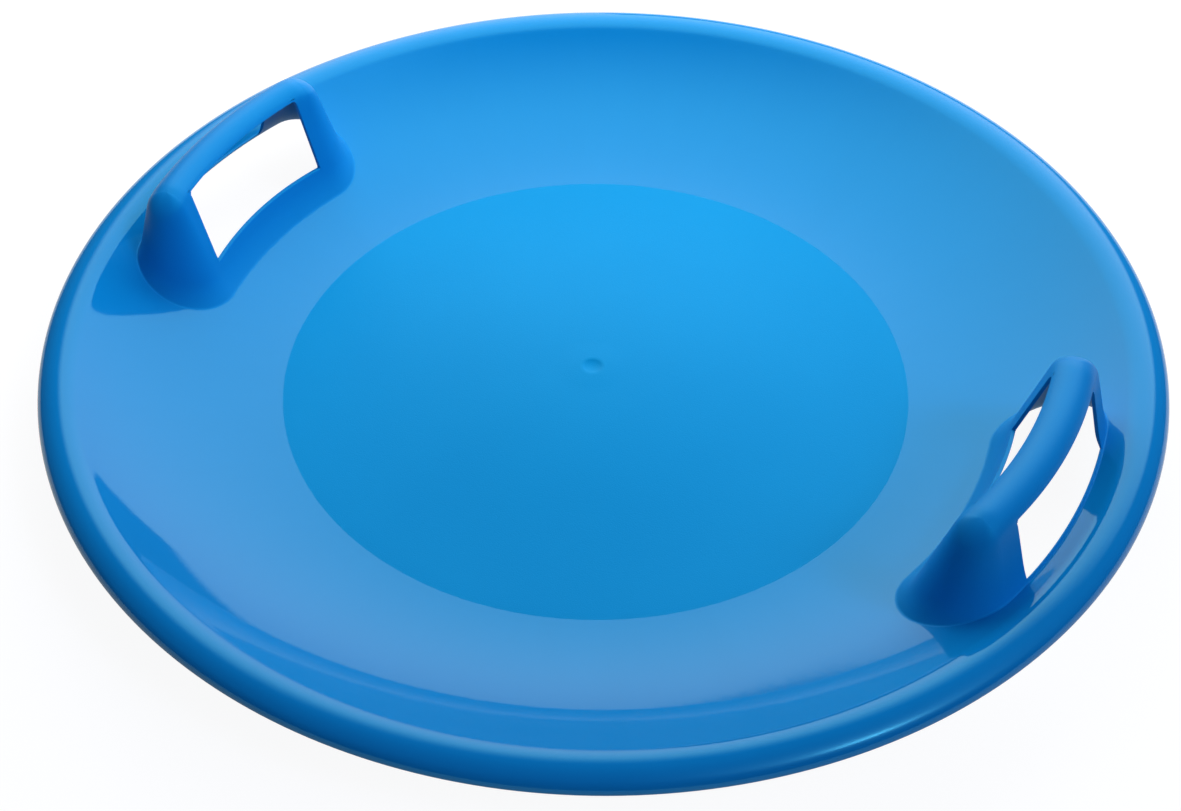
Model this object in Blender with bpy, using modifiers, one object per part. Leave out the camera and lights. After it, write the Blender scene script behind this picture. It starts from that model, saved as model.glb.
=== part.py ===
"""Round snow slider: a thin-walled saucer with a raised seat, a rolled rim and two hollow hand grips.

The real object is one moulding of even wall thickness. Its natural regions are the pieces here: the
matte seat, the glossy bowl, the rolled rim and the two grips. The origin is on the floor under the
middle, +Z is up, and the grips stand at -X and +X.
"""
import math

import bmesh
import bpy

# Driving dimensions, in metres and degrees
OVERALL_RADIUS = 0.300      # middle to the outer edge of the rim
CREST_HEIGHT = 0.0475       # floor to the top of the rim
WALL = 0.002                # thickness of the moulding
GAP = 0.0003                # clearance between neighbouring pieces

BOWL_BAND = 0.1275          # edge of the seat to the outer edge of the rim
BOWL_START_SLOPE = 6.0      # slope at which the bowl leaves the edge of the seat
STAND_RING = 0.012          # width of the flat ring at the edge of the seat, which meets the floor
DOME_RISE = 0.0085          # height of the middle of the seat above its edge
SWELL_RADIUS = 0.022        # soft swelling round the moulding gate
SWELL_RISE = 0.0006
DIMPLE_RADIUS = 0.0057      # round dimple of the moulding gate
DIMPLE_DEPTH = 0.0014

CREST_RADIUS = 0.016        # outer radius over the crest of the rim
CREST_TURN = 33.0           # slope beyond the crest at which the tighter lip begins
LIP_RADIUS = 0.0075         # outer radius of the turned-down lip
LIP_TURN = 80.0             # slope at which the lip ends

GRIP_INSET = 0.0514         # outer edge of the rim to the middle line of a grip
GRIP_HALF_ARC = 0.0615      # middle of a grip to the centre of its round end, along the middle line
GRIP_TOP = 0.081            # floor to the top of a grip
GRIP_ROUND = 0.012          # outer radius of the round top, across the grip
END_ROUND = 0.020           # radius at which the top falls away at each end, along the grip
GRIP_DRAFT = 15.6           # lean of the grip's walls
OUTER_FLARE = 0.0020        # reach of the flare where a wall meets the bowl, on the outer side
SEAT_SIDE_FLARE = 0.0050    # the same on the side towards the seat; the ends lie between the two
FLARE_RISE = 0.014          # height on the wall at which the flare begins
FLARE_PULL = 0.006          # height on the wall of the point that pulls the flare's curve
WINDOW_WIDTH = 0.100        # finger window, straight through both walls
WINDOW_HEAD = 0.006         # top of the grip to the top of the window
WINDOW_CHAMFER = 0.0016     # corner cut at the top of the window
INNER_SILL = 0.0170         # foot of the inner wall to the bottom of the window
OUTER_SILL = 0.0018         # foot of the outer wall to the bottom of the window

# Facets
TURN_STEPS = 72             # round the saucer
DOME_STEPS = 7              # along the seat
BOWL_STEPS = 9              # along the bowl
CREST_STEPS = 6             # over the crest
LIP_STEPS = 4               # down the lip
EDGE_STEPS = 4              # round the free edge of the rim
SIDE_STEPS = 14             # along each side of a grip
END_STEPS = 12              # round each end of a grip
FLARE_STEPS = 3             # up the flare at the foot of a grip
ROUND_STEPS = 5             # over the round top of a grip

MERGE = 0.00001
SEAT_RADIUS = OVERALL_RADIUS - BOWL_BAND
GRIP_RADIUS = OVERALL_RADIUS - GRIP_INSET
CREST_END = math.radians(CREST_TURN)
LIP_END = math.radians(LIP_TURN)
CREST_R = OVERALL_RADIUS - LIP_RADIUS * math.sin(LIP_END) - (CREST_RADIUS - LIP_RADIUS) * math.sin(CREST_END)
DRAFT = math.radians(GRIP_DRAFT)
WALL_LINE = GRIP_ROUND + (GRIP_TOP - GRIP_ROUND) * math.sin(DRAFT)
CROWN_RUN = (END_ROUND - GRIP_ROUND) * (1 - math.sin(DRAFT)) / math.cos(DRAFT)


def bowl_arc():
    """Radius and end slope of the arc that leaves the seat at its start slope and runs into the rim."""
    start = math.radians(BOWL_START_SLOPE)
    across = CREST_R - SEAT_RADIUS
    rise = CREST_HEIGHT - WALL
    drop = CREST_RADIUS - rise
    radius = (across ** 2 + drop ** 2 - CREST_RADIUS ** 2) / (
        2 * (CREST_RADIUS - across * math.sin(start) - drop * math.cos(start)))
    end = math.acos((radius * math.cos(start) + drop) / (radius + CREST_RADIUS))
    return radius, end


BOWL_RADIUS, BOWL_END = bowl_arc()
BOWL_CENTRE_R = SEAT_RADIUS - BOWL_RADIUS * math.sin(math.radians(BOWL_START_SLOPE))
BOWL_CENTRE_Z = WALL + BOWL_RADIUS * math.cos(math.radians(BOWL_START_SLOPE))


def dish_top(r):
    """Height of the upper face at a radius: the bowl, and past its outer end the crest of the rim."""
    if r < BOWL_CENTRE_R + BOWL_RADIUS * math.sin(BOWL_END):
        return BOWL_CENTRE_Z - math.sqrt(BOWL_RADIUS ** 2 - (r - BOWL_CENTRE_R) ** 2)
    return CREST_HEIGHT - CREST_RADIUS + math.sqrt(CREST_RADIUS ** 2 - (r - CREST_R) ** 2)


def clear_scene():
    for obj in list(bpy.data.objects):
        bpy.data.objects.remove(obj, do_unlink=True)


def make_collection(name):
    collection = bpy.data.collections.new(name)
    bpy.context.scene.collection.children.link(collection)
    return collection


def make_material(name, colour, roughness):
    """A plastic with a base colour and a roughness."""
    material = bpy.data.materials.new(name)
    material.use_nodes = True
    shader = material.node_tree.nodes["Principled BSDF"]
    shader.inputs["Base Color"].default_value = (*colour, 1.0)
    shader.inputs["Roughness"].default_value = roughness
    shader.inputs["Metallic"].default_value = 0.0
    return material


def add_object(name, mesh, collection, material=None):
    obj = bpy.data.objects.new(name, mesh)
    collection.objects.link(obj)
    if material is not None and not mesh.materials:
        mesh.materials.append(material)
    return obj


def smooth(mesh):
    mesh.shade_smooth()
    mesh.set_sharp_from_angle(angle=math.radians(30))


def turned(name, section, closed, collection, material):
    """A section in the X-Z plane, upper face outwards and then back along the lower face, turned once."""
    mesh = bpy.data.meshes.new(name)
    edges = [(i, i + 1) for i in range(len(section) - 1)]
    if closed:
        edges.append((len(section) - 1, 0))
    mesh.from_pydata([(r, 0.0, z) for r, z in section], edges, [])
    obj = add_object(name, mesh, collection, material)
    screw = obj.modifiers.new("turn", "SCREW")
    screw.axis = "Z"
    screw.angle = math.radians(360)
    screw.steps = TURN_STEPS
    screw.render_steps = TURN_STEPS
    screw.use_merge_vertices = True
    screw.merge_threshold = MERGE
    return obj


def subtract(obj, cutter):
    cut = obj.modifiers.new("cut_" + cutter.name, "BOOLEAN")
    cut.operation = "DIFFERENCE"
    cut.solver = "EXACT"
    cut.object = cutter


def mark_as_cutter(obj):
    obj.hide_render = True
    obj.display_type = "WIRE"


def seat_lift(r):
    """Height of the seat's underside: the raised middle with the soft swelling on it."""
    dome_edge = SEAT_RADIUS - STAND_RING
    dome = 0.5 * DOME_RISE * (1 + math.cos(math.pi * r / dome_edge)) if r < dome_edge else 0.0
    swell = SWELL_RISE * (1 - (r / SWELL_RADIUS) ** 2) ** 2 if r < SWELL_RADIUS else 0.0
    return dome + swell


def dimple(r):
    return DIMPLE_DEPTH * (1 - (r / DIMPLE_RADIUS) ** 2) if r < DIMPLE_RADIUS else 0.0


def seat_section():
    """Section of the seat from the axis along its top to its edge, and back below."""
    dome_edge = SEAT_RADIUS - STAND_RING
    edge = SEAT_RADIUS - GAP / 2
    under = [SWELL_RADIUS + (dome_edge - SWELL_RADIUS) * i / DOME_STEPS for i in range(DOME_STEPS + 1)]
    under = [0.0, SWELL_RADIUS / 2] + under + [edge]
    over = [DIMPLE_RADIUS * i / 3 for i in range(4)] + [r for r in under if r > DIMPLE_RADIUS]
    top = [(r, WALL + seat_lift(r) - dimple(r)) for r in over]
    return top + [(r, seat_lift(r)) for r in reversed(under)]


def bowl_section():
    """Section of the bowl, from the seat's edge to the rim, as two concentric arcs."""
    start = math.asin((SEAT_RADIUS + GAP / 2 - BOWL_CENTRE_R) / BOWL_RADIUS)
    end = BOWL_END - GAP / 2 / BOWL_RADIUS
    slopes = [start + (end - start) * i / BOWL_STEPS for i in range(BOWL_STEPS + 1)]

    def on_arc(slope, radius):
        return (BOWL_CENTRE_R + radius * math.sin(slope), BOWL_CENTRE_Z - radius * math.cos(slope))

    top = [on_arc(slope, BOWL_RADIUS) for slope in slopes]
    under = [on_arc(slope, BOWL_RADIUS + WALL) for slope in slopes]
    under[0] = (top[0][0], 0.0)
    return top + under[::-1]


def rim_section():
    """Section of the rolled rim: crest and tighter lip of even wall, with a rounded free edge."""
    start = -BOWL_END + GAP / 2 / CREST_RADIUS
    crest = [start + (CREST_END - start) * i / CREST_STEPS for i in range(CREST_STEPS)]
    lip = [CREST_END + (LIP_END - CREST_END) * i / LIP_STEPS for i in range(LIP_STEPS + 1)]
    centre_z = CREST_HEIGHT - CREST_RADIUS
    tighter = CREST_RADIUS - LIP_RADIUS

    def on_rim(slope, inset):
        if slope < CREST_END:
            centre, radius = (CREST_R, centre_z), CREST_RADIUS - inset
        else:
            centre = (CREST_R + tighter * math.sin(CREST_END), centre_z + tighter * math.cos(CREST_END))
            radius = LIP_RADIUS - inset
        return (centre[0] + radius * math.sin(slope), centre[1] + radius * math.cos(slope))

    top = [on_rim(slope, 0.0) for slope in crest + lip]
    under = [on_rim(slope, WALL) for slope in crest + lip]
    mid_r, mid_z = on_rim(LIP_END, WALL / 2)
    edge = []
    for i in range(1, EDGE_STEPS):
        turn = LIP_END + math.pi * i / EDGE_STEPS
        edge.append((mid_r + WALL / 2 * math.sin(turn), mid_z + WALL / 2 * math.cos(turn)))
    return top + edge + under[::-1]


def grip_stations():
    """Stations round a grip: the angle of a point on its middle line, and the heading away from it."""
    half_angle = GRIP_HALF_ARC / GRIP_RADIUS
    stations = []
    for i in range(SIDE_STEPS):
        stations.append((half_angle * (2 * i / SIDE_STEPS - 1), 0.0))
    for i in range(END_STEPS):
        stations.append((half_angle, math.pi * i / END_STEPS))
    for i in range(SIDE_STEPS):
        stations.append((half_angle * (1 - 2 * i / SIDE_STEPS), math.pi))
    for i in range(END_STEPS):
        stations.append((-half_angle, math.pi * (1 + i / END_STEPS)))
    return stations


def station_point(station, reach):
    """Plan position at a distance from the middle line, along the station's heading."""
    angle, heading = station
    return (GRIP_RADIUS * math.cos(angle) + reach * math.cos(angle + heading),
            GRIP_RADIUS * math.sin(angle) + reach * math.sin(angle + heading))


def ground(station, reach):
    """Height of the dish's upper face under a station."""
    return dish_top(math.hypot(*station_point(station, reach)))


def wall_reach(z):
    """Distance of a grip's outer face from its middle line at a height, below the round top."""
    return (WALL_LINE - z * math.sin(DRAFT)) / math.cos(DRAFT)


def crown_height(angle):
    """Height of the crown over the middle line: level, then falling away towards the round end."""
    past = max(0.0, abs(angle) * GRIP_RADIUS - GRIP_HALF_ARC + CROWN_RUN)
    return GRIP_TOP - END_ROUND + math.sqrt(END_ROUND ** 2 - past ** 2)


def crown_arc(station):
    """Circle that runs from the leaning wall to the crown at a station: centre and radius."""
    angle, heading = station
    height = crown_height(angle)
    side = (WALL_LINE - height * math.sin(DRAFT)) / (1 - math.sin(DRAFT))
    radius = side + (END_ROUND - side) * math.sin(heading) ** 2
    # the circle touches the wall and passes through the crown point
    lean = math.tan(DRAFT)
    reach = (WALL_LINE - radius) / math.cos(DRAFT)
    half = reach * lean + height
    whole = 1 + lean ** 2
    root = max(0.0, half ** 2 - whole * (reach ** 2 + height ** 2 - radius ** 2))
    centre_z = (half - math.sqrt(root)) / whole
    return reach - centre_z * lean, centre_z, radius


def wall_foot(station):
    """Reach and height at which the leaning wall meets the bowl, by halving."""
    low, high = 0.0, GRIP_TOP - GRIP_ROUND
    for _ in range(40):
        middle = (low + high) / 2
        if ground(station, wall_reach(middle)) > middle:
            low = middle
        else:
            high = middle
    return wall_reach(low), low


def outer_profile(station):
    """Outer face of a grip at a station, as (reach, height) from the bowl to the top."""
    foot_w, foot_z = wall_foot(station)
    step = GAP
    slope = (ground(station, foot_w + step) - ground(station, foot_w - step)) / (2 * step)
    flare = OUTER_FLARE + (SEAT_SIDE_FLARE - OUTER_FLARE) * (1 - math.cos(station[1])) / 2
    edge_w = foot_w + flare / math.hypot(1, slope)
    edge = (edge_w, ground(station, edge_w))
    # the flare leaves the wall smoothly and meets the bowl while still steep, in a crisp line
    rise = (foot_w - FLARE_RISE * math.sin(DRAFT), foot_z + FLARE_RISE * math.cos(DRAFT))
    pull = (foot_w - FLARE_PULL * math.sin(DRAFT), foot_z + FLARE_PULL * math.cos(DRAFT))
    profile = []
    for i in range(FLARE_STEPS + 1):
        t = i / FLARE_STEPS
        profile.append(tuple((1 - t) ** 2 * a + 2 * t * (1 - t) * b + t ** 2 * c
                             for a, b, c in zip(edge, pull, rise)))
    return profile + round_top(station, 0.0), slope


def round_top(station, inset):
    """The round top's section at a station, from the leaning wall to the crown on the middle line."""
    centre_w, centre_z, radius = crown_arc(station)
    radius -= inset
    crown = math.acos(-centre_w / radius)
    turns = [DRAFT + (crown - DRAFT) * i / ROUND_STEPS for i in range(ROUND_STEPS)]
    arc = [(centre_w + radius * math.cos(turn), centre_z + radius * math.sin(turn)) for turn in turns]
    return arc + [(0.0, centre_z + radius * math.sin(crown))]


def inner_profile(station, outer, slope):
    """Inner face at a station: one wall inside the outer face, and straight down at the bowl's cut."""
    edge_w, edge_z = outer[0]
    profile = [(edge_w, edge_z - WALL * math.hypot(1, slope))]
    for i in range(1, FLARE_STEPS):
        along_w = outer[i + 1][0] - outer[i - 1][0]
        along_z = outer[i + 1][1] - outer[i - 1][1]
        length = math.hypot(along_w, along_z)
        profile.append((outer[i][0] - WALL * along_z / length, outer[i][1] + WALL * along_w / length))
    rise_w, rise_z = outer[FLARE_STEPS]
    profile.append((rise_w - WALL * math.cos(DRAFT), rise_z - WALL * math.sin(DRAFT)))
    return profile + round_top(station, WALL)


def loft(bm, rings, outward):
    """Bands of faces between rings of equal count, closed round."""
    count = len(rings[0])
    for lower, upper in zip(rings, rings[1:]):
        for i in range(count):
            face = [lower[i], lower[(i + 1) % count], upper[(i + 1) % count], upper[i]]
            bm.faces.new(face if outward else face[::-1])


def grip_mesh():
    """A hollow loaf with round ends, lofted from the bowl's surface to its crown, open below."""
    stations = grip_stations()
    outer = [outer_profile(station) for station in stations]
    inner = [inner_profile(station, profile, slope) for station, (profile, slope) in zip(stations, outer)]
    outer = [profile for profile, _ in outer]
    bm = bmesh.new()

    def rings(profiles):
        return [[bm.verts.new((*station_point(station, profile[level][0]), profile[level][1]))
                 for station, profile in zip(stations, profiles)] for level in range(len(profiles[0]))]

    outside = rings(outer)
    inside = rings(inner)
    loft(bm, outside, outward=True)
    loft(bm, inside, outward=False)
    loft(bm, [inside[0], outside[0]], outward=True)
    bmesh.ops.remove_doubles(bm, verts=bm.verts, dist=MERGE)
    mesh = bpy.data.meshes.new("grip")
    bm.to_mesh(mesh)
    bm.free()
    smooth(mesh)
    return mesh


def footprint_mesh():
    """Upright prism that cuts a grip's hole in bowl and rim, one gap clear of the grip."""
    outline = []
    for station in grip_stations():
        profile, _ = outer_profile(station)
        outline.append(station_point(station, profile[0][0] + GAP))
    bm = bmesh.new()
    base = bm.faces.new([bm.verts.new((x, y, -WALL)) for x, y in outline])
    top = bmesh.ops.extrude_face_region(bm, geom=[base])["geom"]
    lift = [item for item in top if isinstance(item, bmesh.types.BMVert)]
    bmesh.ops.translate(bm, verts=lift, vec=(0, 0, CREST_HEIGHT + 2 * WALL))
    bmesh.ops.recalc_face_normals(bm, faces=bm.faces)
    mesh = bpy.data.meshes.new("footprint")
    bm.to_mesh(mesh)
    bm.free()
    return mesh


def window_mesh():
    """Block that cuts a finger window through both walls: level along the grip, sloped across it."""
    inner_w, inner_z = wall_foot((0.0, math.pi))
    outer_w, outer_z = wall_foot((0.0, 0.0))
    near, far = GRIP_RADIUS - inner_w, GRIP_RADIUS + outer_w
    sill_near, sill_far = inner_z + INNER_SILL, outer_z + OUTER_SILL
    rise = (sill_far - sill_near) / (far - near)
    over = inner_w
    bm = bmesh.new()
    bmesh.ops.create_cube(bm, size=1.0)
    for vert in bm.verts:
        inward, low = vert.co.x < 0, vert.co.z < 0
        vert.co.x = near - over if inward else far + over
        vert.co.y = math.copysign(WINDOW_WIDTH / 2, vert.co.y)
        sill = sill_near - rise * over if inward else sill_far + rise * over
        vert.co.z = sill if low else GRIP_TOP - WINDOW_HEAD
    head = [edge for edge in bm.edges
            if all(vert.co.z > GRIP_TOP - WINDOW_HEAD - WALL for vert in edge.verts)
            and edge.verts[0].co.y == edge.verts[1].co.y]
    bmesh.ops.bevel(bm, geom=head, offset=WINDOW_CHAMFER, segments=1, affect="EDGES", profile=0.5)
    bmesh.ops.recalc_face_normals(bm, faces=bm.faces)
    mesh = bpy.data.meshes.new("window")
    bm.to_mesh(mesh)
    bm.free()
    return mesh


def build():
    clear_scene()
    parts = make_collection("snow_slider")
    cutters = make_collection("cutters")
    gloss = make_material("gloss_blue", (0.010, 0.245, 0.640), 0.16)
    grain = make_material("grained_blue", (0.004, 0.235, 0.640), 0.55)
    grip_grain = make_material("grip_blue", (0.008, 0.190, 0.600), 0.45)

    turned("seat", seat_section(), False, parts, grain)
    bowl = turned("bowl", bowl_section(), True, parts, gloss)
    rim = turned("rim", rim_section(), True, parts, gloss)

    grip = grip_mesh()
    window = window_mesh()
    footprint = footprint_mesh()
    for name, side in (("right_grip", 0.0), ("left_grip", math.pi)):
        handle = add_object(name, grip, parts, grip_grain)
        opening = add_object(name + "_window", window, cutters)
        hole = add_object(name + "_footprint", footprint, cutters)
        for obj in (handle, opening, hole):
            obj.rotation_euler.z = side
        for cutter in (opening, hole):
            mark_as_cutter(cutter)
        subtract(handle, opening)
        subtract(bowl, hole)
        subtract(rim, hole)


build()
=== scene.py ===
"""Looks of the round snow slider: a glossy dish with a rolled rim, a grained seat and two satin grips.

The dish skin stands for the bowl and the rim, the seat skin for the seat, and each grip skin for its
grip. The skins meet edge to edge, as the one moulding does.
"""
import math

import bmesh
import bpy
from mathutils import Matrix, Quaternion, Vector


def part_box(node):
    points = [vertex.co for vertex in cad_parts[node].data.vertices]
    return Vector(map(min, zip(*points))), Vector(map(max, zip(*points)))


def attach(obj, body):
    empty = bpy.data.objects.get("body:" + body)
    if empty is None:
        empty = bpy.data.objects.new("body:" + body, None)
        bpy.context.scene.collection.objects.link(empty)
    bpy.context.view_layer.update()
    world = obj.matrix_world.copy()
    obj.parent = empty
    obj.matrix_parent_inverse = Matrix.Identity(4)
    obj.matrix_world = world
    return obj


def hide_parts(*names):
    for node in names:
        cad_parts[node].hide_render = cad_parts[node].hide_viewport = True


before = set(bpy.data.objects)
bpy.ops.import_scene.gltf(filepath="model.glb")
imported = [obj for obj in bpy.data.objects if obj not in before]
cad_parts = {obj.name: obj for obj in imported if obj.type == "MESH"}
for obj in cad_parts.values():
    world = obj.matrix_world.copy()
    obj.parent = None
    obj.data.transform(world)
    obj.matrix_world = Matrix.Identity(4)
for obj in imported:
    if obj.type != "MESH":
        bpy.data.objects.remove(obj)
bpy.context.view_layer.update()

# Sizes of the moulding, in metres and degrees
GAP = 0.0003                # clearance between the frame's pieces, which the skins close
WALL = 0.002                # thickness of the moulding
HAIR = 0.00001              # by which the dish stays inside the frame's box
OVERALL_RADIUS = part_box("rim")[1].x - HAIR
CREST_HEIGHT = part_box("rim")[1].z
SEAT_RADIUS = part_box("seat")[1].x + GAP / 2
BOWL_START_SLOPE = math.radians(6.0)
STAND_RING = 0.012          # flat ring at the edge of the seat
DOME_RISE = 0.0085          # rise of the seat's middle above its edge
SWELL_RADIUS = 0.022        # soft swelling round the moulding gate
SWELL_RISE = 0.0006
DIMPLE_RADIUS = 0.0057      # dimple of the moulding gate
DIMPLE_DEPTH = 0.0014
CREST_RADIUS = 0.016
CREST_END = math.radians(33.0)
LIP_RADIUS = 0.0075
LIP_END = math.radians(80.0)

GRIP_RADIUS = OVERALL_RADIUS - 0.0514
GRIP_HALF_ANGLE = 0.0615 / GRIP_RADIUS
GRIP_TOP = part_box("right_grip")[1].z
GRIP_ROUND = 0.012          # radius of the round top, across the grip
END_ROUND = 0.020           # radius at which the top falls away at each end
DRAFT = math.radians(15.6)  # lean of the grip's walls
OUTER_FLARE = 0.0020        # reach of the flare at the foot, on the outer side
SEAT_SIDE_FLARE = 0.0050    # the same on the seat's side; the ends lie between the two
FLARE_RISE = 0.014          # height on the wall at which the flare begins
FLARE_PULL = 0.006          # height on the wall of the point that pulls the flare's curve
TOE = 0.0008                # small round where the flare runs out on the dish
TOE_SHARE = 0.10            # share of the flare's rows that the toe takes
WINDOW_WIDTH = 0.100
WINDOW_TOP = GRIP_TOP - 0.006
WINDOW_CORNER = 0.0016      # round at the window's upper corners
SILL_CORNER = 0.0007        # round at its lower corners
WINDOW_EDGE = 0.00035       # round along all its edges
INNER_SILL = 0.0170
OUTER_SILL = 0.0018

# Sizes that follow
CREST_R = OVERALL_RADIUS - LIP_RADIUS * math.sin(LIP_END) - (CREST_RADIUS - LIP_RADIUS) * math.sin(CREST_END)
WALL_LINE = GRIP_ROUND + (GRIP_TOP - GRIP_ROUND) * math.sin(DRAFT)
CROWN_RUN = (END_ROUND - GRIP_ROUND) * (1 - math.sin(DRAFT)) / math.cos(DRAFT)

# Fineness of the skins
TURN_STEPS = 288            # steps once round the dish and the seat
BOWL_STEPS, CREST_STEPS, LIP_STEPS, EDGE_STEPS = 44, 24, 14, 10
DIMPLE_STEPS, SWELL_STEPS, DOME_STEPS = 8, 10, 36
END_STEPS = 30              # columns round each end of a grip
WINDOW_STEPS = 24           # columns across its window
JAMB_STEPS = 4              # columns from the window to the grip's end
HALVINGS = 40               # steps of each search by halving
SHARP = math.radians(40.0)  # bends above this angle stay sharp
MERGE = 0.000002            # distance below which two points become one

# The photograph's camera, in metres, degrees and pixels
IMAGE_WIDTH, IMAGE_HEIGHT = 1181, 811
FOCAL_PIXELS = 1929.6
PRINCIPAL_X, PRINCIPAL_Y = 461.3, 417.9
CAMERA_PLACE = Vector((0.3849, -0.6722, 0.7492))
CAMERA_AIM = Vector((-0.0458, -0.0637, 0.0020))
CAMERA_ROLL = math.radians(-3.49)
SENSOR = 36.0

# Light. Places are metres to the camera's right, away from it and above the floor, from the slider's middle.
# Directions are degrees from straight away from the camera towards its right, and degrees above the floor.
SOFTBOX_TOP = (0.20, 0.02, 0.72)
SOFTBOX_FOOT = (0.20, 1.15, 0.04)
SOFTBOX_WIDTH = 1.3
SOFTBOX_RADIANCE = 2.65
FOOT_GLOW = 0.35            # share of the full glow at the softbox's foot
FULL_FROM, FULL_TO = 0.65, 0.70     # shares of its height between which it glows in full
SIDE_FADE = 0.14            # share of its width over which each side fades
MASK_TOP = (0.248, 0.256)   # shares of its height over which the mask at the right of its foot ends
MASK_SIDE = (0.562, 0.572)  # shares of its width, from its right, over which that mask ends
EVEN_LIGHT = 0.10           # light of the surroundings from all sides
WORLD_TINT = (0.75, 0.95, 1.40)     # cool colour of the surroundings
LOBES = (                   # soft glows in the surroundings: direction, strength and how narrow each is
    ((128, 48), 2.80, 30), ((128, 48), 9.00, 200), ((90, 60), 0.20, 20),
)
FLOOR_GREY = 0.13           # colour of the floor as a surface
FLOOR_LIFT = 0.93           # glow that brings it to white where it is seen
FLOOR_HALF = 30.0           # half the floor's side
FLOOR_DROP = 0.0002         # by which it lies below the slider


def bowl_arc():
    """Radius and end slope of the arc from the seat's edge to the rim."""
    across = CREST_R - SEAT_RADIUS
    drop = CREST_RADIUS - (CREST_HEIGHT - WALL)
    radius = (across ** 2 + drop ** 2 - CREST_RADIUS ** 2) / (
        2 * (CREST_RADIUS - across * math.sin(BOWL_START_SLOPE) - drop * math.cos(BOWL_START_SLOPE)))
    return radius, math.acos((radius * math.cos(BOWL_START_SLOPE) + drop) / (radius + CREST_RADIUS))


BOWL_RADIUS, BOWL_END = bowl_arc()
BOWL_CENTRE_R = SEAT_RADIUS - BOWL_RADIUS * math.sin(BOWL_START_SLOPE)
BOWL_CENTRE_Z = WALL + BOWL_RADIUS * math.cos(BOWL_START_SLOPE)


def dish_top(r):
    """Height of the dish's upper face at a radius, from the seat's edge to the crest."""
    if r < BOWL_CENTRE_R + BOWL_RADIUS * math.sin(BOWL_END):
        return BOWL_CENTRE_Z - math.sqrt(BOWL_RADIUS ** 2 - (r - BOWL_CENTRE_R) ** 2)
    return CREST_HEIGHT - CREST_RADIUS + math.sqrt(CREST_RADIUS ** 2 - (r - CREST_R) ** 2)


def steps(low, high, count):
    """Evenly spaced values from low to high, both ends included."""
    return [low + (high - low) * i / count for i in range(count + 1)]


def piece(name, bm, slot, *nodes):
    """Makes a smooth-shaded skin: it rides on the only body and stands for the named nodes."""
    mesh = bpy.data.meshes.new(name)
    bm.to_mesh(mesh)
    bm.free()
    mesh.shade_smooth()
    mesh.set_sharp_from_angle(angle=SHARP)
    obj = bpy.data.objects.new(name, mesh)
    bpy.context.scene.collection.objects.link(obj)
    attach(obj, "root")
    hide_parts(*nodes)
    return obj


def spun(profile, closed):
    """A turned skin: the profile, in the X-Z plane, spun once round the Z axis."""
    bm = bmesh.new()
    verts = [bm.verts.new((r, 0.0, z)) for r, z in profile]
    pairs = list(zip(verts, verts[1:]))
    if closed:
        pairs.append((verts[-1], verts[0]))
    edges = [bm.edges.new(pair) for pair in pairs]
    bmesh.ops.spin(bm, geom=verts + edges, cent=(0, 0, 0), axis=(0, 0, 1), angle=2 * math.pi,
                   steps=TURN_STEPS, use_merge=True)
    bmesh.ops.remove_doubles(bm, verts=bm.verts, dist=MERGE)
    bmesh.ops.recalc_face_normals(bm, faces=bm.faces)
    return bm


def seat_lift(r):
    """Height of the seat's underside: the raised middle with the soft swelling on it."""
    dome_edge = SEAT_RADIUS - STAND_RING
    dome = 0.5 * DOME_RISE * (1 + math.cos(math.pi * r / dome_edge)) if r < dome_edge else 0.0
    swell = SWELL_RISE * (1 - (r / SWELL_RADIUS) ** 2) ** 2 if r < SWELL_RADIUS else 0.0
    return dome + swell


def dimple(r):
    """Depth of the gate's dimple: a shallow bowl with a soft edge."""
    return DIMPLE_DEPTH * (1 - (r / DIMPLE_RADIUS) ** 2) if r < DIMPLE_RADIUS else 0.0


def seat_skin():
    """The seat, turned: dimple, swelling and raised centre above, and the same shape a wall below."""
    radii = steps(0.0, DIMPLE_RADIUS, DIMPLE_STEPS) + steps(DIMPLE_RADIUS, SWELL_RADIUS, SWELL_STEPS)[1:]
    radii += steps(SWELL_RADIUS, SEAT_RADIUS - STAND_RING, DOME_STEPS)[1:] + [SEAT_RADIUS]
    top = [(r, WALL + seat_lift(r) - dimple(r)) for r in radii]
    under = [(r, seat_lift(r)) for r in reversed(radii)]
    return spun(top + under, closed=False)


def dish_profile():
    """Section of bowl and rolled rim: along the top, round the free edge, and back along the underside."""
    bowl = steps(BOWL_START_SLOPE, BOWL_END, BOWL_STEPS)
    crest = steps(-BOWL_END, CREST_END, CREST_STEPS)[1:]
    lip = steps(CREST_END, LIP_END, LIP_STEPS)[1:]
    crest_z = CREST_HEIGHT - CREST_RADIUS
    tighter = CREST_RADIUS - LIP_RADIUS
    lip_r = CREST_R + tighter * math.sin(CREST_END)
    lip_z = crest_z + tighter * math.cos(CREST_END)

    def face(inset):
        points = [(BOWL_CENTRE_R + (BOWL_RADIUS + inset) * math.sin(slope),
                   BOWL_CENTRE_Z - (BOWL_RADIUS + inset) * math.cos(slope)) for slope in bowl]
        points += [(CREST_R + (CREST_RADIUS - inset) * math.sin(slope),
                    crest_z + (CREST_RADIUS - inset) * math.cos(slope)) for slope in crest]
        points += [(lip_r + (LIP_RADIUS - inset) * math.sin(slope),
                    lip_z + (LIP_RADIUS - inset) * math.cos(slope)) for slope in lip]
        return points

    middle_r = lip_r + (LIP_RADIUS - WALL / 2) * math.sin(LIP_END)
    middle_z = lip_z + (LIP_RADIUS - WALL / 2) * math.cos(LIP_END)
    edge = [(middle_r + WALL / 2 * math.sin(turn), middle_z + WALL / 2 * math.cos(turn))
            for turn in steps(LIP_END, LIP_END + math.pi, EDGE_STEPS)[1:-1]]
    under = face(WALL)
    under[0] = (SEAT_RADIUS, 0.0)
    return face(0.0) + edge + under[::-1]


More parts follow.
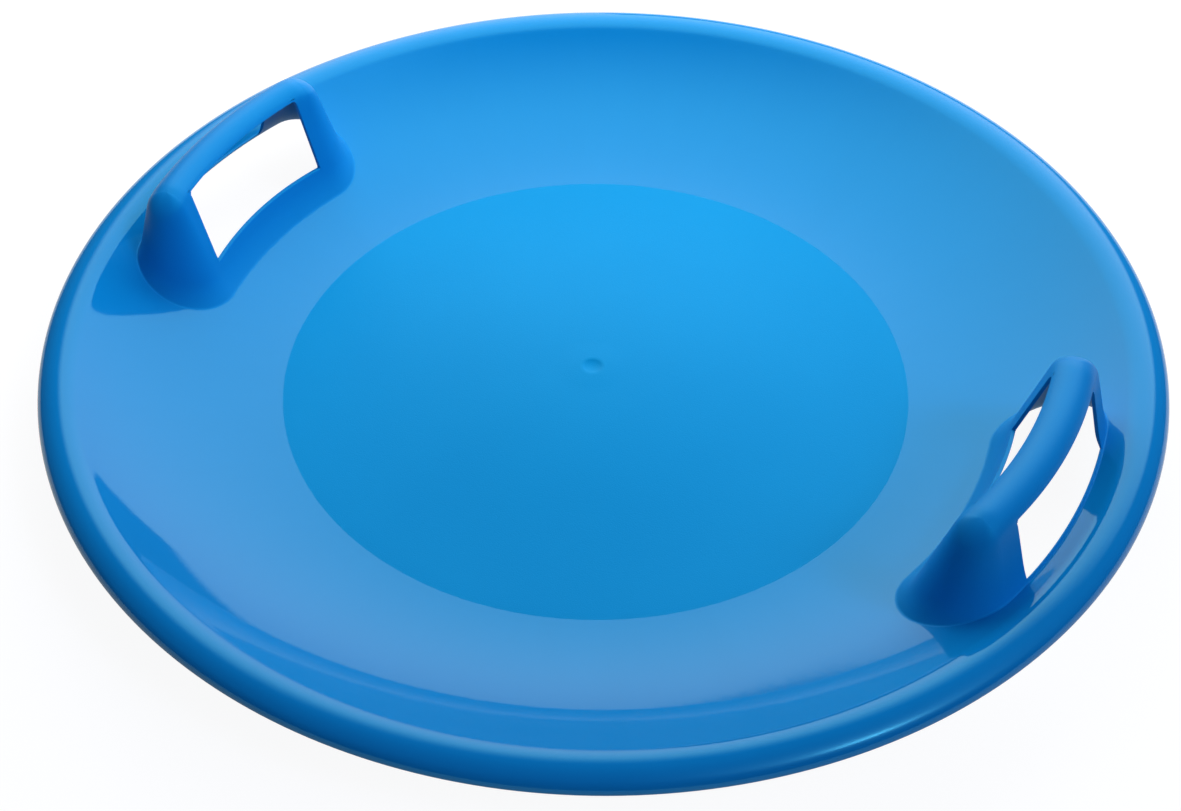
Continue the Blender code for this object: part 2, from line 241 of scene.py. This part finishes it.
class Column:
    """One line of points up a grip's wall, from its foot on the dish to its crown."""

    def __init__(self, side, along, heading):
        self.side = side            # 1 on the outer long side, -1 on the seat's side, 0 round an end
        self.along = along          # -1 to 1 across the window, and on to -2 and 2 at the grip's ends
        self.heading = heading      # turn away from the outer side, counted round the grip
        self.foot_w, self.foot_z = self.find_foot()
        self.plan_foot()
        self.plan_crown()

    def spot(self, reach):
        """Plan position at a distance from the grip's middle line."""
        if self.side:
            radius = GRIP_RADIUS + self.side * reach
            share = abs(self.along)
            window = math.asin(min(share, 1.0) * WINDOW_WIDTH / 2 / radius)
            angle = window + max(0.0, share - 1) * (GRIP_HALF_ANGLE - window)
            angle = math.copysign(angle, self.along)
            return Vector((radius * math.cos(angle), radius * math.sin(angle)))
        angle = math.copysign(GRIP_HALF_ANGLE, self.along)
        middle = Vector((math.cos(angle), math.sin(angle))) * GRIP_RADIUS
        turned = angle + self.heading
        return middle + Vector((math.cos(turned), math.sin(turned))) * reach

    def ground(self, reach):
        """Height of the dish under the spot at a distance from the grip's middle line."""
        return dish_top(self.spot(reach).length)

    def find_foot(self):
        """Reach and height at which the leaning wall meets the dish, by halving."""
        low, high = 0.0, GRIP_TOP - GRIP_ROUND
        for _ in range(HALVINGS):
            z = (low + high) / 2
            if self.ground((WALL_LINE - z * math.sin(DRAFT)) / math.cos(DRAFT)) > z:
                low = z
            else:
                high = z
        return (WALL_LINE - low * math.sin(DRAFT)) / math.cos(DRAFT), low

    def plan_foot(self):
        """The flare's curve from the toe on the dish to the wall, and the point that pulls it."""
        foot = Vector((self.foot_w, self.foot_z))
        up = Vector((-math.sin(DRAFT), math.cos(DRAFT)))
        slope = (self.ground(self.foot_w + GAP) - self.ground(self.foot_w - GAP)) / (2 * GAP)
        flare = OUTER_FLARE + (SEAT_SIDE_FLARE - OUTER_FLARE) * (1 - math.cos(self.heading)) / 2
        edge_w = self.foot_w + flare / math.hypot(1, slope)
        self.edge = Vector((edge_w, self.ground(edge_w)))
        self.under_edge = self.edge - Vector((0, WALL * math.hypot(1, slope)))
        self.toe = Vector((edge_w - TOE, self.ground(edge_w - TOE)))
        self.rise = foot + up * FLARE_RISE
        self.pull = foot + up * FLARE_PULL

    def flare(self, t):
        """Point and direction on the flare's curve, from the toe to the wall."""
        low, high = self.toe.lerp(self.pull, t), self.pull.lerp(self.rise, t)
        return low.lerp(high, t), (high - low).normalized()

    def plan_crown(self):
        """Circle from the leaning wall to the crown, which falls away towards the grip's ends."""
        middle = Vector(self.spot(0.0))
        past = abs(math.atan2(middle.y, middle.x)) * GRIP_RADIUS - GRIP_HALF_ANGLE * GRIP_RADIUS + CROWN_RUN
        height = GRIP_TOP - END_ROUND + math.sqrt(END_ROUND ** 2 - max(0.0, past) ** 2)
        side = (WALL_LINE - height * math.sin(DRAFT)) / (1 - math.sin(DRAFT))
        radius = side + (END_ROUND - side) * math.sin(self.heading) ** 2
        lean = math.tan(DRAFT)
        reach = (WALL_LINE - radius) / math.cos(DRAFT)
        half = reach * lean + height
        root = max(0.0, half ** 2 - (1 + lean ** 2) * (reach ** 2 + height ** 2 - radius ** 2))
        centre_z = (half - math.sqrt(root)) / (1 + lean ** 2)
        self.crown_centre = Vector((reach - centre_z * lean, centre_z))
        self.crown_radius = radius

    def section(self, s, inset):
        """Reach and height on the wall's section: s is 0 to 1 up the flare, to 2 up the wall, to 3 over the top."""
        across = Vector((math.cos(DRAFT), math.sin(DRAFT)))
        radius = self.crown_radius - inset
        if s <= 1 and inset:
            point, along = self.flare(s)
            start = self.flare(0.0)[1]
            low = self.toe - Vector((start.y, -start.x)) * inset
            return point - Vector((along.y, -along.x)) * inset + (self.under_edge - low) * (1 - s) ** 3
        if s <= 1:
            begin = TOE / (2 * (self.pull - self.toe).length)
            if s >= TOE_SHARE:
                return self.flare(begin + (1 - begin) * (s - TOE_SHARE) / (1 - TOE_SHARE))[0]
            bend = s / TOE_SHARE
            return self.edge.lerp(self.toe, bend).lerp(self.toe.lerp(self.flare(begin)[0], bend), bend)
        if s <= 2:
            return (self.rise - across * inset).lerp(self.crown_centre + across * radius, s - 1)
        crown = math.acos(-self.crown_centre.x / radius)
        turn = DRAFT + (crown - DRAFT) * (s - 2)
        reach = 0.0 if s == 3 else self.crown_centre.x + radius * math.cos(turn)
        return Vector((reach, self.crown_centre.y + radius * math.sin(turn)))

    def point(self, s, inset):
        """Place on the wall's outer face, or at an inset from it."""
        reach, z = self.section(s, inset)
        x, y = self.spot(reach)
        return Vector((x, y, z))


def grip_columns():
    """Columns once round the grip: outer side, one end, the seat's side, the other end."""
    side = steps(-2, -1, JAMB_STEPS)[:-1] + steps(-1, 1, WINDOW_STEPS)[:-1] + steps(1, 2, JAMB_STEPS)[:-1]
    columns = [Column(1, along, 0.0) for along in side]
    columns += [Column(0, 2, math.pi * i / END_STEPS) for i in range(END_STEPS)]
    columns += [Column(-1, -along, math.pi) for along in side]
    columns += [Column(0, -2, math.pi * (1 + i / END_STEPS)) for i in range(END_STEPS)]
    return columns


COLUMNS = grip_columns()
OUTER_MIDDLE, SEAT_MIDDLE = Column(1, 0.0, 0.0), Column(-1, 0.0, math.pi)
OUTER_JAMB, SEAT_JAMB = Column(1, 1.0, 0.0), Column(-1, 1.0, math.pi)
SILL_NEAR_R, SILL_FAR_R = GRIP_RADIUS - SEAT_MIDDLE.foot_w, GRIP_RADIUS + OUTER_MIDDLE.foot_w
SILL_NEAR_Z, SILL_FAR_Z = SEAT_MIDDLE.foot_z + INNER_SILL, OUTER_MIDDLE.foot_z + OUTER_SILL


def sill_height(column, point):
    """Height of the window's sill: level along the grip on the seat's side, along the foot on the outer side."""
    across = math.hypot(point.x, point.y) if column.side > 0 else point.x
    share = (across - SILL_NEAR_R) / (SILL_FAR_R - SILL_NEAR_R)
    return SILL_NEAR_Z + (SILL_FAR_Z - SILL_NEAR_Z) * share


def crossing(column, inset, level):
    """Place on a column's section where it rises through a level, by halving."""
    low, high = 0.0, 3.0
    for _ in range(HALVINGS):
        s = (low + high) / 2
        point = column.point(s, inset)
        if point.z < level(column, point):
            low = s
        else:
            high = s
    return low


# Rows up the grip: the toe, the flare in two lots, the wall in two lots, then below and above the window's top
ROW_LOTS = (4, 5, 6, 3, 8, 1, 10)
ROWS = sum(ROW_LOTS)
OUTER_SILL_ROW = sum(ROW_LOTS[:2])
INNER_SILL_ROW = sum(ROW_LOTS[:4])
HEAD_ROW = sum(ROW_LOTS[:6])


def row_knots(column, inset):
    """Where the lots of rows meet on a long side's column, so that rows lie along the window's edges."""
    head = crossing(column, inset, lambda column, point: WINDOW_TOP)
    sill = crossing(column, inset, sill_height)
    if column.side > 0:
        return [0.0, TOE_SHARE, sill, 1.0, 1.2, 2.0, head, 3.0]
    return [0.0, TOE_SHARE, 0.5, 1.0, sill, 2.0, head, 3.0]


def column_rows(column, inset):
    """Places of all rows on a column's section."""
    if column.side and abs(column.along) <= 1:
        knots = row_knots(column, inset)
    else:
        share = 1 - abs(1 - column.heading / math.pi)
        knots = [a + (b - a) * share
                 for a, b in zip(row_knots(OUTER_JAMB, inset), row_knots(SEAT_JAMB, inset))]
    places = [0.0]
    for low, high, count in zip(knots, knots[1:], ROW_LOTS):
        places += steps(low, high, count)[1:]
    return places


def grip_face(bm, inset, address):
    """One face of the grip's wall, as a sheet laid round the columns. Notes each point's column and row."""
    count = len(COLUMNS)
    sheet = bmesh.ops.create_grid(bm, x_segments=count, y_segments=ROWS, size=1.0)["verts"]
    rows = [column_rows(column, inset) for column in COLUMNS]
    for vert in sheet:
        i = round((vert.co.x + 1) / 2 * count) % count
        j = round((vert.co.y + 1) / 2 * ROWS)
        vert.co = COLUMNS[i].point(rows[i][j], inset)
        address[vert] = (COLUMNS[i], j)


def in_window(column, row):
    """True on the rows and columns that the window spans, its edges included."""
    if not column.side or abs(column.along) > 1:
        return False
    return (OUTER_SILL_ROW if column.side > 0 else INNER_SILL_ROW) <= row <= HEAD_ROW


def grip_skin():
    """The hollow grip: two faces laid a wall apart, joined at the foot and round both windows."""
    bm = bmesh.new()
    address = {}
    for inset in (0.0, WALL):
        grip_face(bm, inset, address)
    bmesh.ops.remove_doubles(bm, verts=bm.verts, dist=MERGE)
    panes = [face for face in bm.faces if all(in_window(*address[vert]) for vert in face.verts)]
    bmesh.ops.delete(bm, geom=panes, context="FACES")

    rims = {"foot": [], 1: [], -1: []}
    for edge in bm.edges:
        if edge.is_boundary:
            column, row = address[edge.verts[0]]
            foot = row == 0 and address[edge.verts[1]][1] == 0
            rims["foot" if foot else column.side].append(edge)
    bmesh.ops.bridge_loops(bm, edges=rims["foot"])
    for side in (1, -1):
        for face in bmesh.ops.bridge_loops(bm, edges=rims[side])["faces"]:
            face.material_index = 1
    bmesh.ops.recalc_face_normals(bm, faces=bm.faces)

    def corners(head):
        """Edges through the wall at the window's upper or lower corners."""
        found = []
        for edge in bm.edges:
            places = [address.get(vert) for vert in edge.verts]
            if all(face.material_index for face in edge.link_faces) and all(
                    place and abs(place[0].along) == 1 and in_window(*place)
                    and (place[1] == HEAD_ROW) == head for place in places):
                found.append(edge)
        return [edge for edge in found if head or all(
            address[vert][1] == (OUTER_SILL_ROW if address[vert][0].side > 0 else INNER_SILL_ROW)
            for vert in edge.verts)]

    upper, lower = corners(True), corners(False)
    bmesh.ops.bevel(bm, geom=upper, offset=WINDOW_CORNER, segments=5, affect="EDGES", profile=0.5, material=-1)
    lower = [edge for edge in lower if edge.is_valid]
    bmesh.ops.bevel(bm, geom=lower, offset=SILL_CORNER, segments=3, affect="EDGES", profile=0.5, material=-1)
    outline = [edge for edge in bm.edges if len({face.material_index for face in edge.link_faces}) == 2]
    bmesh.ops.bevel(bm, geom=outline, offset=WINDOW_EDGE, segments=3, affect="EDGES", profile=0.5, material=-1)
    for face in bm.faces:
        face.material_index = 0
    return bm


def hole_cutter():
    """Upright prisms under both grips, with the outlines of the grips' feet."""
    bm = bmesh.new()
    for turn in (1, -1):
        foot = [column.point(0.0, 0.0) * turn for column in COLUMNS]
        base = bm.faces.new([bm.verts.new((point.x, point.y, -WALL)) for point in foot])
        made = bmesh.ops.extrude_face_region(bm, geom=[base])["geom"]
        lift = [item for item in made if isinstance(item, bmesh.types.BMVert)]
        bmesh.ops.translate(bm, verts=lift, vec=(0, 0, CREST_HEIGHT + 2 * WALL))
    bmesh.ops.recalc_face_normals(bm, faces=bm.faces)
    mesh = bpy.data.meshes.new("hole_cutter")
    bm.to_mesh(mesh)
    bm.free()
    cutter = bpy.data.objects.new("hole_cutter", mesh)
    bpy.context.scene.collection.objects.link(cutter)
    return cutter


def cut_holes(dish):
    """Cuts the hole under each grip and keeps the result as the dish's own mesh."""
    cutter = hole_cutter()
    cut = dish.modifiers.new("holes", "BOOLEAN")
    cut.operation = "DIFFERENCE"
    cut.solver = "EXACT"
    cut.object = cutter
    evaluated = dish.evaluated_get(bpy.context.evaluated_depsgraph_get())
    mesh = bpy.data.meshes.new_from_object(evaluated)
    dish.modifiers.clear()
    dish.data = mesh
    mesh.name = "dish"
    bpy.data.objects.remove(cutter)


class Field:
    """A value or colour that varies from place to place, with the arithmetic that the shaders use."""

    def __init__(self, shading, socket):
        self.shading = shading
        self.socket = socket

    def maths(self, operation, first, second):
        """The outcome of one Math node."""
        return self.shading.node("ShaderNodeMath", {"operation": operation}, {0: first, 1: second})

    def __add__(self, other):
        return self.maths("ADD", self, other)

    def __radd__(self, other):
        return self.maths("ADD", other, self)

    def __sub__(self, other):
        return self.maths("SUBTRACT", self, other)

    def __rsub__(self, other):
        return self.maths("SUBTRACT", other, self)

    def __mul__(self, other):
        return self.maths("MULTIPLY", self, other)

    def __rmul__(self, other):
        return self.maths("MULTIPLY", other, self)

    def __truediv__(self, other):
        return self.maths("DIVIDE", self, other)

    def __pow__(self, other):
        return self.maths("POWER", self, other)

    def exp(self):
        """The number e to the power of the value."""
        return self.maths("EXPONENT", self, 0.0)

    def soft(self, start, end):
        """An even S-shaped rise from 0 at the start to 1 at the end."""
        return self.shading.node("ShaderNodeMapRange", {"interpolation_type": "SMOOTHSTEP"}, {
            "Value": self, "From Min": start, "From Max": end})

    def clamped(self):
        """The value, kept between 0 and 1."""
        return self.shading.node("ShaderNodeClamp", None, {"Value": self})


class Shading:
    """The nodes of a material, world or lamp in the making, and the shader that they feed."""

    def __init__(self, owner, shader, coordinates=None):
        owner.use_nodes = True
        self.owner = owner
        self.tree = owner.node_tree
        self.shader = self.tree.nodes[shader]
        if coordinates:
            self.place = self.node("ShaderNodeTexCoord", output=coordinates)

    def feed(self, **inputs):
        """Sets or links the shader's inputs, named with underscores for spaces."""
        for name, value in inputs.items():
            self.join(self.shader.inputs[name.replace("_", " ")], value)

    def node(self, kind, settings=None, inputs=None, output=0):
        """Adds a node with its settings, then its sockets' values or links, and gives one of its outputs."""
        node = self.tree.nodes.new(kind)
        for name, value in (settings or {}).items():
            setattr(node, name, value)
        for name, value in (inputs or {}).items():
            self.join(node.inputs[name], value)
        return Field(self, node.outputs[output])

    def join(self, socket, value):
        """Links a field to a socket, or sets a plain value on it."""
        if isinstance(value, Field):
            self.tree.links.new(value.socket, socket)
        else:
            socket.default_value = value

    def noise(self, scale, detail=2.0, roughness=0.5, vector=None):
        """Cloudy values about 0.5, over the object's place unless another vector is given."""
        return self.node("ShaderNodeTexNoise", None, {
            "Vector": vector or self.place, "Scale": scale, "Detail": detail, "Roughness": roughness})

    def blend(self, share, first, second):
        """Mixes two colours by a share that varies over the surface."""
        return self.node("ShaderNodeMix", {"data_type": "RGBA"}, {
            0: share, 6: (*first, 1.0), 7: (*second, 1.0)}, output=2)

    def bump(self, height, depth):
        """A normal from a height between 0 and 1, at a depth in metres."""
        return self.node("ShaderNodeBump", None, {"Height": height, "Distance": depth, "Strength": 1.0})

    def dot(self, direction):
        """How far the place points in a direction: 1 straight along it, 0 square to it."""
        return self.node("ShaderNodeVectorMath", {"operation": "DOT_PRODUCT"}, {0: self.place, 1: direction},
                         output="Value")

    def split(self, vector):
        """The three parts of a vector."""
        parts = self.node("ShaderNodeSeparateXYZ", None, {0: vector}).socket.node.outputs
        return [Field(self, part) for part in parts]

    def radial(self, around, outward):
        """Coordinates that follow rays from the middle: fine around the circle and coarse outwards."""
        x, y, _ = self.split(self.place)
        radius = (x * x + y * y) ** 0.5
        return self.node("ShaderNodeCombineXYZ", None, {
            0: x / radius * around, 1: y / radius * around, 2: radius * outward})


def plastic(name):
    """A new material in the making, over the object's own coordinates."""
    return Shading(bpy.data.materials.new(name), "Principled BSDF", "Object")


def gloss_finish():
    """Polished blue plastic: faint flow lines from the gate, fine ripples and a nearly mirror-like gloss."""
    finish = plastic("gloss_blue")
    flow = finish.noise(1.0, detail=4.0, roughness=0.6, vector=finish.radial(9.0, 6.0))
    cloud = finish.noise(14.0)
    haze = finish.noise(90.0, detail=3.0)
    ripple = finish.noise(260.0, detail=1.0)
    finish.feed(
        Base_Color=finish.blend(flow * 0.6 + cloud * 0.4, (0.002, 0.236, 0.585), (0.004, 0.260, 0.630)),
        Roughness=0.02 + haze * 0.05,
        Normal=finish.bump(ripple, 0.000008),
        Specular_IOR_Level=0.42,
        Specular_Tint=(0.22, 1.0, 1.0, 1.0))
    return finish.owner


def seat_finish():
    """Fine spark-eroded grain: matte blue with pin-prick relief."""
    finish = plastic("grained_blue")
    cloud = finish.noise(11.0, detail=3.0)
    grain = finish.noise(1500.0, roughness=0.6)
    finish.feed(
        Base_Color=finish.blend(cloud, (0.000, 0.292, 0.635), (0.002, 0.322, 0.675)),
        Roughness=0.50 + grain * 0.16,
        Normal=finish.bump(grain, 0.00009),
        Specular_IOR_Level=0.20,
        Specular_Tint=(0.00, 1.0, 1.0, 1.0))
    return finish.owner


def grip_finish():
    """Satin grain of the grips, a little smoother where hands rub the top."""
    finish = plastic("grip_blue")
    cloud = finish.noise(16.0, detail=3.0)
    grain = finish.noise(1700.0, roughness=0.6)
    height = finish.split(finish.place)[2]
    rubbed = finish.node("ShaderNodeMapRange", None, {
        "Value": height, "From Min": 0.066, "From Max": 0.080, "To Min": 0.0, "To Max": 1.0})
    finish.feed(
        Base_Color=finish.blend(cloud, (0.002, 0.242, 0.630), (0.005, 0.272, 0.675)),
        Roughness=0.44 + grain * 0.14 - rubbed * 0.06,
        Normal=finish.bump(grain, 0.00006),
        Specular_IOR_Level=0.32,
        Specular_Tint=(0.05, 1.0, 1.0, 1.0))
    return finish.owner


def paint(obj, material):
    """Gives a skin its only material."""
    obj.data.materials.clear()
    obj.data.materials.append(material)


def make_slider():
    """The four skins of the moulding, each with its finish."""
    seat = piece("seat_skin", seat_skin(), "grained_blue", "seat")
    dish = piece("dish_skin", spun(dish_profile(), closed=True), "gloss_blue", "bowl", "rim")
    cut_holes(dish)
    grips = []
    for name, turn in (("right_grip", 0.0), ("left_grip", math.pi)):
        bm = grip_skin()
        bmesh.ops.rotate(bm, cent=(0, 0, 0), matrix=Matrix.Rotation(turn, 3, "Z"), verts=bm.verts)
        grips.append(piece(name + "_skin", bm, "grip_blue", name))
    paint(seat, seat_finish())
    paint(dish, gloss_finish())
    satin = grip_finish()
    for grip in grips:
        paint(grip, satin)
        weigh = grip.modifiers.new("even_shading", "WEIGHTED_NORMAL")
        weigh.keep_sharp = True


def make_floor():
    """A plain pale floor that reads white and keeps the slider's soft shadow."""
    bm = bmesh.new()
    bmesh.ops.create_grid(bm, x_segments=1, y_segments=1, size=FLOOR_HALF)
    bmesh.ops.translate(bm, verts=bm.verts, vec=(0, 0, -FLOOR_DROP))
    mesh = bpy.data.meshes.new("floor")
    bm.to_mesh(mesh)
    bm.free()
    floor = bpy.data.objects.new("floor", mesh)
    bpy.context.scene.collection.objects.link(floor)
    finish = plastic("pale_floor")
    finish.feed(
        Base_Color=(FLOOR_GREY, FLOOR_GREY, FLOOR_GREY, 1.0),
        Roughness=0.9,
        Specular_IOR_Level=0.0,
        Emission_Color=finish.blend(seen_directly(finish), (0.0, 0.0, 0.0), (FLOOR_LIFT,) * 3),
        Emission_Strength=1.0)
    floor.data.materials.append(finish.owner)


def seen_directly(shading):
    """1 for rays that show the surface itself, to the camera or in gloss or glass, and else 0."""
    path = shading.node("ShaderNodeLightPath").socket.node.outputs
    camera, glossy, clear = [Field(shading, path[name]) for name in
                             ("Is Camera Ray", "Is Glossy Ray", "Is Transmission Ray")]
    return (camera + glossy + clear).clamped()


def make_world():
    """Dim cool surroundings with soft glows."""
    sky = Shading(bpy.data.worlds.new("studio"), "Background", "Generated")
    light = EVEN_LIGHT
    for direction, strength, focus in LOBES:
        light = light + ((sky.dot(compass(*direction)) - 1.0) * focus).exp() * strength
    tinted = sky.node("ShaderNodeVectorMath", {"operation": "SCALE"}, {0: WORLD_TINT, "Scale": light})
    sky.feed(Color=tinted, Strength=1.0)
    bpy.context.scene.world = sky.owner


def make_softbox():
    """A large softbox that leans over the slider from behind. It fades towards its top, foot and sides."""
    top, foot = place(*SOFTBOX_TOP), place(*SOFTBOX_FOOT)
    upward = (top - foot).normalized()
    sideways = place(1.0, 0.0, 0.0)
    lamp = bpy.data.lights.new("softbox", "AREA")
    lamp.shape = "RECTANGLE"
    lamp.size, lamp.size_y = SOFTBOX_WIDTH, (top - foot).length
    lamp.energy = SOFTBOX_RADIANCE * math.pi * lamp.size * lamp.size_y
    box = Shading(lamp, "Emission")
    across, height, _ = box.split(box.node("ShaderNodeNewGeometry", output="Parametric"))
    glow = FOOT_GLOW + height.soft(0.0, FULL_FROM) * (1 - FOOT_GLOW)
    glow = glow * height.soft(1.0, FULL_TO) * across.soft(0.0, SIDE_FADE) * across.soft(1.0, 1 - SIDE_FADE)
    mask = 1 - height.soft(*reversed(MASK_TOP)) * across.soft(*reversed(MASK_SIDE))
    box.feed(Strength=glow * mask)
    obj = bpy.data.objects.new("softbox", lamp)
    obj.location = (top + foot) / 2
    obj.rotation_mode = "QUATERNION"
    obj.rotation_quaternion = Matrix((-sideways, upward, upward.cross(sideways))).transposed().to_quaternion()
    bpy.context.scene.collection.objects.link(obj)


def make_camera():
    """The photograph's camera: place, aim, roll and the framing of its off-centre crop."""
    data = bpy.data.cameras.new("camera")
    data.sensor_fit = "HORIZONTAL"
    data.sensor_width = SENSOR
    data.lens = FOCAL_PIXELS / IMAGE_WIDTH * SENSOR
    data.shift_x = (IMAGE_WIDTH / 2 - PRINCIPAL_X) / IMAGE_WIDTH
    data.shift_y = (PRINCIPAL_Y - IMAGE_HEIGHT / 2) / IMAGE_WIDTH
    camera = bpy.data.objects.new("camera", data)
    camera.location = CAMERA_PLACE
    camera.rotation_mode = "QUATERNION"
    level = (CAMERA_AIM - CAMERA_PLACE).to_track_quat("-Z", "Y")
    camera.rotation_quaternion = level @ Quaternion((0, 0, 1), CAMERA_ROLL)
    bpy.context.scene.collection.objects.link(camera)
    bpy.context.scene.camera = camera


def place(right, away, up):
    """A place given along the camera's right, away from it and up, from the slider's middle on the floor."""
    ahead = CAMERA_AIM - CAMERA_PLACE
    ahead.z = 0.0
    ahead.normalize()
    return Vector((ahead.y, -ahead.x, 0.0)) * right + ahead * away + Vector((0.0, 0.0, up))


def compass(azimuth, elevation):
    """A direction: degrees from straight away from the camera towards its right, and degrees above the floor."""
    turn, rise = math.radians(azimuth), math.radians(elevation)
    return place(math.sin(turn) * math.cos(rise), math.cos(turn) * math.cos(rise), math.sin(rise))


make_slider()
make_floor()
make_world()
make_softbox()
make_camera()
bpy.context.scene.view_settings.view_transform = "Standard"
